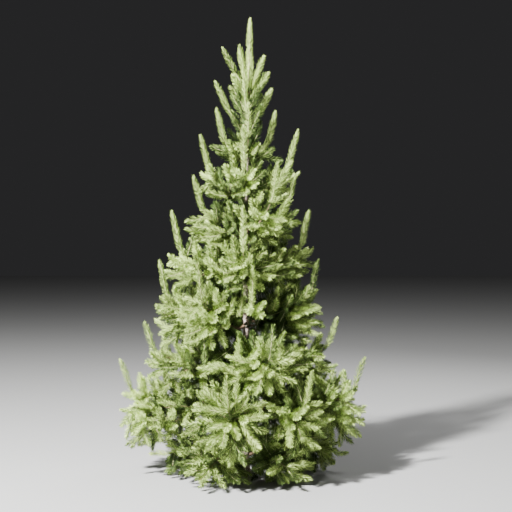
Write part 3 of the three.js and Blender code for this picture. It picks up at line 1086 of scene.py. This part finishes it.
class SPRUCE_OT_boughs(bpy.types.Operator):
    """Make the woody boughs, from the trunk through their masses, with young bark"""

    bl_idname = "spruce.boughs"
    bl_label = "Boughs"

    RISE = 0.25  # of the stretch from the trunk to the mass
    DEPTH = 0.5  # where a bough starts, as a share of the trunk's radius
    STEP = 0.012  # from a point of its line to the next, in the mass
    LEAST_STEPS = 4
    LEAD_STEPS = 6  # on the stretch up to the mass
    SHORT_LEAD = 0.03  # longest stretch up to the mass that is one step
    COLLAR = 0.45  # how much thicker a bough is at the trunk
    COLLAR_LENGTH = 0.03
    # Thickness, as a share of the longest bough's at the trunk: the power of the length that it goes by, how
    # much of it is lost up to the end, and the least one.
    THICKNESS_POWER = 0.6
    TAPER = 0.72
    THINNEST = 0.24
    SIDES = 9
    LIGHT = (0.40, 0.28, 0.17)
    DARK = (0.17, 0.10, 0.06)
    PATTERN = 260  # cells of the bark's colours in a metre
    BUMP = 0.001
    RELIEF = 1.4  # over the trunk's
    GRAIN = 240.0  # cells of the relief in a metre

    def execute(self, context):
        bark = context.scene.spruce_bark
        lines = [self.line(mass) for mass in crown().masses]
        longest = max(line.length for line in lines)

        def thickness(line, along):
            collar = 1 + self.COLLAR * max(0.0, 1 - along * line.length / self.COLLAR_LENGTH) ** 2
            share = (line.length / longest) ** self.THICKNESS_POWER * (1 - self.TAPER * along)
            return max(self.THINNEST, share) * collar

        obj = lines_object("bough_bark", lines, thickness=thickness)
        grown(
            obj,
            twig_tree(),
            sides=self.SIDES,
            radius=bark.bough_radius,
            relief=bark.relief * self.RELIEF,
            grain=self.GRAIN,
            material=bark_material("Bough bark", self.LIGHT, self.DARK, self.PATTERN, self.BUMP),
        )
        finish_piece(obj, LIMBS)
        return {"FINISHED"}

    def line(self, mass):
        """The line of a bough, from inside the trunk to the foot of its candle."""
        stem = trunk().centre(mass.foot.z)
        away = mass.foot - stem
        low = trunk().centre(mass.foot.z - self.RISE * away.length)
        start = low + away.normalized() * trunk().radius(stem.z) * self.DEPTH
        steps = max(self.LEAST_STEPS, round(mass.knee / self.STEP))
        wood = [mass.spine.at(mass.knee * i / steps) for i in range(steps + 1)]
        lead = [start]
        if (wood[0] - start).length > self.SHORT_LEAD:
            lead = [start.lerp(wood[0], i / self.LEAD_STEPS) for i in range(self.LEAD_STEPS)]
        return Shoot(lead + wood, 0, 0, "wood")


class SPRUCE_OT_twigs(bpy.types.Operator):
    """Make the twigs that carry the needles, this year's and older ones apart"""

    bl_idname = "spruce.twigs"
    bl_label = "Twigs"

    # Name, colour and number of sides of this year's twigs and of older ones
    FRESH = ("twigs_fresh", (0.60, 0.56, 0.32), 3)
    OLDER = ("twigs_older", (0.30, 0.20, 0.11), 4)
    # Thickness, as a share of the twig radius: of a new tip, and what each year adds to it. Then the share
    # of it that the finest twigs have.
    NEW = 0.55
    YEARLY = 0.42
    FINEST = 0.8

    def execute(self, context):
        twigs = [shoot for shoot in crown().shoots if shoot.order >= 0]
        for (name, colour, sides), older in ((self.FRESH, False), (self.OLDER, True)):
            shoots = [shoot for shoot in twigs if (shoot.age > 0) == older]
            obj = lines_object(name, shoots, thickness=self.thickness)
            grown(
                obj,
                twig_tree(),
                sides=sides,
                radius=context.scene.spruce_bark.twig_radius,
                relief=0.0,
                grain=1.0,
                material=principled(name.replace("_", " ").capitalize(), colour, 0.6),
            )
            finish_piece(obj, [])
        return {"FINISHED"}

    def thickness(self, shoot, along):
        years = shoot.age + 1 - along
        return (self.NEW + self.YEARLY * years) * (1.0 if shoot.order < Crown.DEEPEST else self.FINEST)


class SPRUCE_OT_buds(bpy.types.Operator):
    """Make the bud at the tip of each shoot"""

    bl_idname = "spruce.buds"
    bl_label = "Buds"

    SIDES = 5
    RADIUS = 0.0026
    WIDEST = 0.00245  # height where a bud is widest
    LENGTH = 0.007
    SUNK = 0.001  # into its twig
    CANDLE = 1.3  # size of the buds of candles

    def execute(self, context):
        sides = range(self.SIDES)
        turns = [2 * math.pi * i / self.SIDES for i in sides]
        ring = [(math.cos(turn) * self.RADIUS, math.sin(turn) * self.RADIUS, self.WIDEST) for turn in turns]
        points = [(0, 0, -self.SUNK), *ring, (0, 0, self.LENGTH)]
        faces = [(0, 1 + (i + 1) % self.SIDES, 1 + i) for i in sides]
        faces += [(1 + i, 1 + (i + 1) % self.SIDES, self.SIDES + 1) for i in sides]
        bud = shape_object("bud_shape", points, faces)
        tips = [shoot for shoot in crown().shoots if shoot.age == 0]
        obj = lines_object("buds", tips, size=lambda shoot: self.CANDLE if shoot.order <= 0 else 1.0)
        material = principled("Buds", (0.33, 0.19, 0.09), 0.5)
        grown(obj, bud_tree(), bud=bud, material=material)
        bpy.data.objects.remove(bud)
        finish_piece(obj, [])
        return {"FINISHED"}


class SPRUCE_OT_needles(bpy.types.Operator):
    """Make the needles, tier by tier, in the tints of their shoots' ages, with painted shade deeper in the
    crown
    """

    bl_idname = "spruce.needles"
    bl_label = "Needles"

    APART = {"fresh": 1.0, "second": 1.0, "old": 1.3}  # way from one needle to the next, over the spacing
    SIZES = {"fresh": 1.05, "second": 1.0, "old": 0.95}
    CANDLE = 0.9  # size of the needles of candles, as a share of others of their age
    WIDEST = 0.68  # how far out a needle is widest, as a share of its length
    FOLD = 0.5  # how far a needle is folded along its middle, as a share of half its width
    OLDEST = 4  # age of the oldest shoots with needles
    DEEP = 0.85  # how far through the tints the painted shade deepens, from the outside to the trunk
    MIXED = 0.2  # how far chance mixes the tints
    UNDER = 2  # how many tints darker half of a shoot's needles are, at most: painted shade for the dark gaps between needles
    SEEDS = 10  # from a piece's seed to the next

    def execute(self, context):
        needles = context.scene.spruce_needles
        half = needles.width / 2
        fold = half * self.FOLD
        points = [(0, 0, 0), (-half, fold, self.WIDEST), (0, 0, 1), (half, fold, self.WIDEST)]
        shape = shape_object("needle_shape", points, [(0, 2, 1), (0, 3, 2)])
        materials = {
            (kind, tint): principled(f"Needles {kind} {tint + 1}", colour, 0.6, Specular_IOR_Level=0.25)
            for kind, colours in NEEDLE_COLOURS.items()
            for tint, colour in enumerate(colours)
        }
        dealt = self.deal(random.Random(context.scene.spruce_growth.seed))
        for number, ((tier, kind, tint), shoots) in enumerate(sorted(dealt.items())):
            obj = lines_object(f"needles_{tier}_{kind}_{tint + 1}", shoots, size=self.size)
            grown(
                obj,
                needle_tree(),
                needle=shape,
                length=needles.length,
                spacing=needles.spacing * self.APART[kind] * 2,  # because each shoot is in two pieces
                spread=needles.spread,
                seed=number * self.SEEDS,
                material=materials[kind, tint],
            )
            finish_piece(obj, crown().nodes[tier])
        bpy.data.objects.remove(shape)
        return {"FINISHED"}

    def size(self, shoot):
        """The size of a shoot's needles, as a share."""
        return self.SIZES[kind_of(shoot)] * (self.CANDLE if shoot.order <= 0 else 1)

    def deal(self, dealer):
        """The shoots of each piece. Each shoot goes to a tint that paints the shade it stands in, and again
        to a darker one, so that its needles are mixed and half of them carry deeper painted shade."""
        dealt = {}
        for shoot in crown().shoots:
            if shoot.age > self.OLDEST:
                continue
            kind = kind_of(shoot)
            tints = len(NEEDLE_COLOURS[kind])
            shade = self.DEEP * (1 - crown().openness(shoot)) + dealer.gauss(0, self.MIXED)
            tint = int(shade * tints)
            # The second, darker tint is painted shade.
            for choice in (tint, tint + self.UNDER):
                piece = shoot.tier, kind, min(max(choice, 0), tints - 1)
                dealt.setdefault(piece, []).append(shoot)
        return dealt


class SPRUCE_OT_stage(bpy.types.Operator):
    """Make the floor, the soft studio lights and the camera"""

    bl_idname = "spruce.stage"
    bl_label = "Stage"

    # Name, place, size in metres and power in watts of each soft light, aimed at the middle of the crown.
    LIGHTS = (
        ("key", (-3.4, -4.4, 5.8), 0.5, 4700),
        ("fill", (4.5, -4.0, 2.2), 3.0, 30),
        ("rim", (2.6, 4.0, 4.2), 2.0, 220),
    )
    MIDDLE = 0.48  # height of the crown's middle, as a share of the tree's
    FLOOR = 31  # half the floor's side
    WORLD = (0.024, 0.024, 0.025)
    ASIDE = 0.074  # from the trunk to the camera's line of sight
    DROP = 0.154  # of the line of sight, from the camera to the trunk

    def execute(self, context):
        stage = context.scene.spruce_stage
        mesh = bpy.data.meshes.new("floor")
        far = self.FLOOR
        corners = [(-far, -far, 0), (far, -far, 0), (far, far, 0), (-far, far, 0)]
        mesh.from_pydata(corners, [], [(0, 1, 2, 3)])
        mesh.materials.append(principled("Studio floor", stage.floor, 0.8))
        floor = bpy.data.objects.new("floor", mesh)
        context.scene.collection.objects.link(floor)

        middle = Vector((0, 0, self.MIDDLE * TOP))
        for name, place, size, power in self.LIGHTS:
            light = bpy.data.lights.new(name, "AREA")
            light.size = size
            light.energy = power
            lamp = bpy.data.objects.new(name, light)
            lamp.location = place
            lamp.rotation_euler = (middle - Vector(place)).to_track_quat("-Z", "Y").to_euler()
            context.scene.collection.objects.link(lamp)

        world = bpy.data.worlds.new("Studio")
        world.use_nodes = True
        world.node_tree.nodes["Background"].inputs["Color"].default_value = (*self.WORLD, 1)
        context.scene.world = world

        lens = bpy.data.cameras.new("camera")
        lens.angle = stage.view_angle
        camera = bpy.data.objects.new("camera", lens)
        camera.location = (self.ASIDE, -stage.distance, stage.eye)
        aim = Vector((self.ASIDE, 0, stage.eye - self.DROP))
        camera.rotation_euler = (aim - camera.location).to_track_quat("-Z", "Y").to_euler()
        context.scene.collection.objects.link(camera)
        context.scene.camera = camera
        return {"FINISHED"}


class SPRUCE_PT_panel(bpy.types.Panel):
    bl_idname = "SPRUCE_PT_panel"
    bl_label = "Young spruce"
    bl_space_type = "VIEW_3D"
    bl_region_type = "UI"
    bl_category = "Spruce"

    def draw(self, context):
        for group in GROUPS:
            column = self.layout.column(align=True)
            for key in group.__annotations__:
                column.prop(getattr(context.scene, scene_name(group)), key)
        for operator in OPERATORS:
            self.layout.operator(operator.bl_idname)


GROUPS = (SpruceGrowth, SpruceNeedles, SpruceBark, SpruceStage)
OPERATORS = (
    SPRUCE_OT_stage,
    SPRUCE_OT_trunk,
    SPRUCE_OT_boughs,
    SPRUCE_OT_twigs,
    SPRUCE_OT_buds,
    SPRUCE_OT_needles,
)


def scene_name(group):
    """The name that a group of sizes has on the scene."""
    return "spruce_" + group.__name__.removeprefix("Spruce").lower()


def register():
    for group in GROUPS:
        bpy.utils.register_class(group)
        setattr(bpy.types.Scene, scene_name(group), bpy.props.PointerProperty(type=group))
    for cls in (*OPERATORS, SPRUCE_PT_panel):
        bpy.utils.register_class(cls)


def unregister():
    for cls in (SPRUCE_PT_panel, *reversed(OPERATORS)):
        bpy.utils.unregister_class(cls)
    for group in reversed(GROUPS):
        delattr(bpy.types.Scene, scene_name(group))
        bpy.utils.unregister_class(group)


def main():
    register()
    for operator in OPERATORS:
        getattr(bpy.ops.spruce, operator.bl_idname.split(".")[1])()


if __name__ == "__main__":
    main()
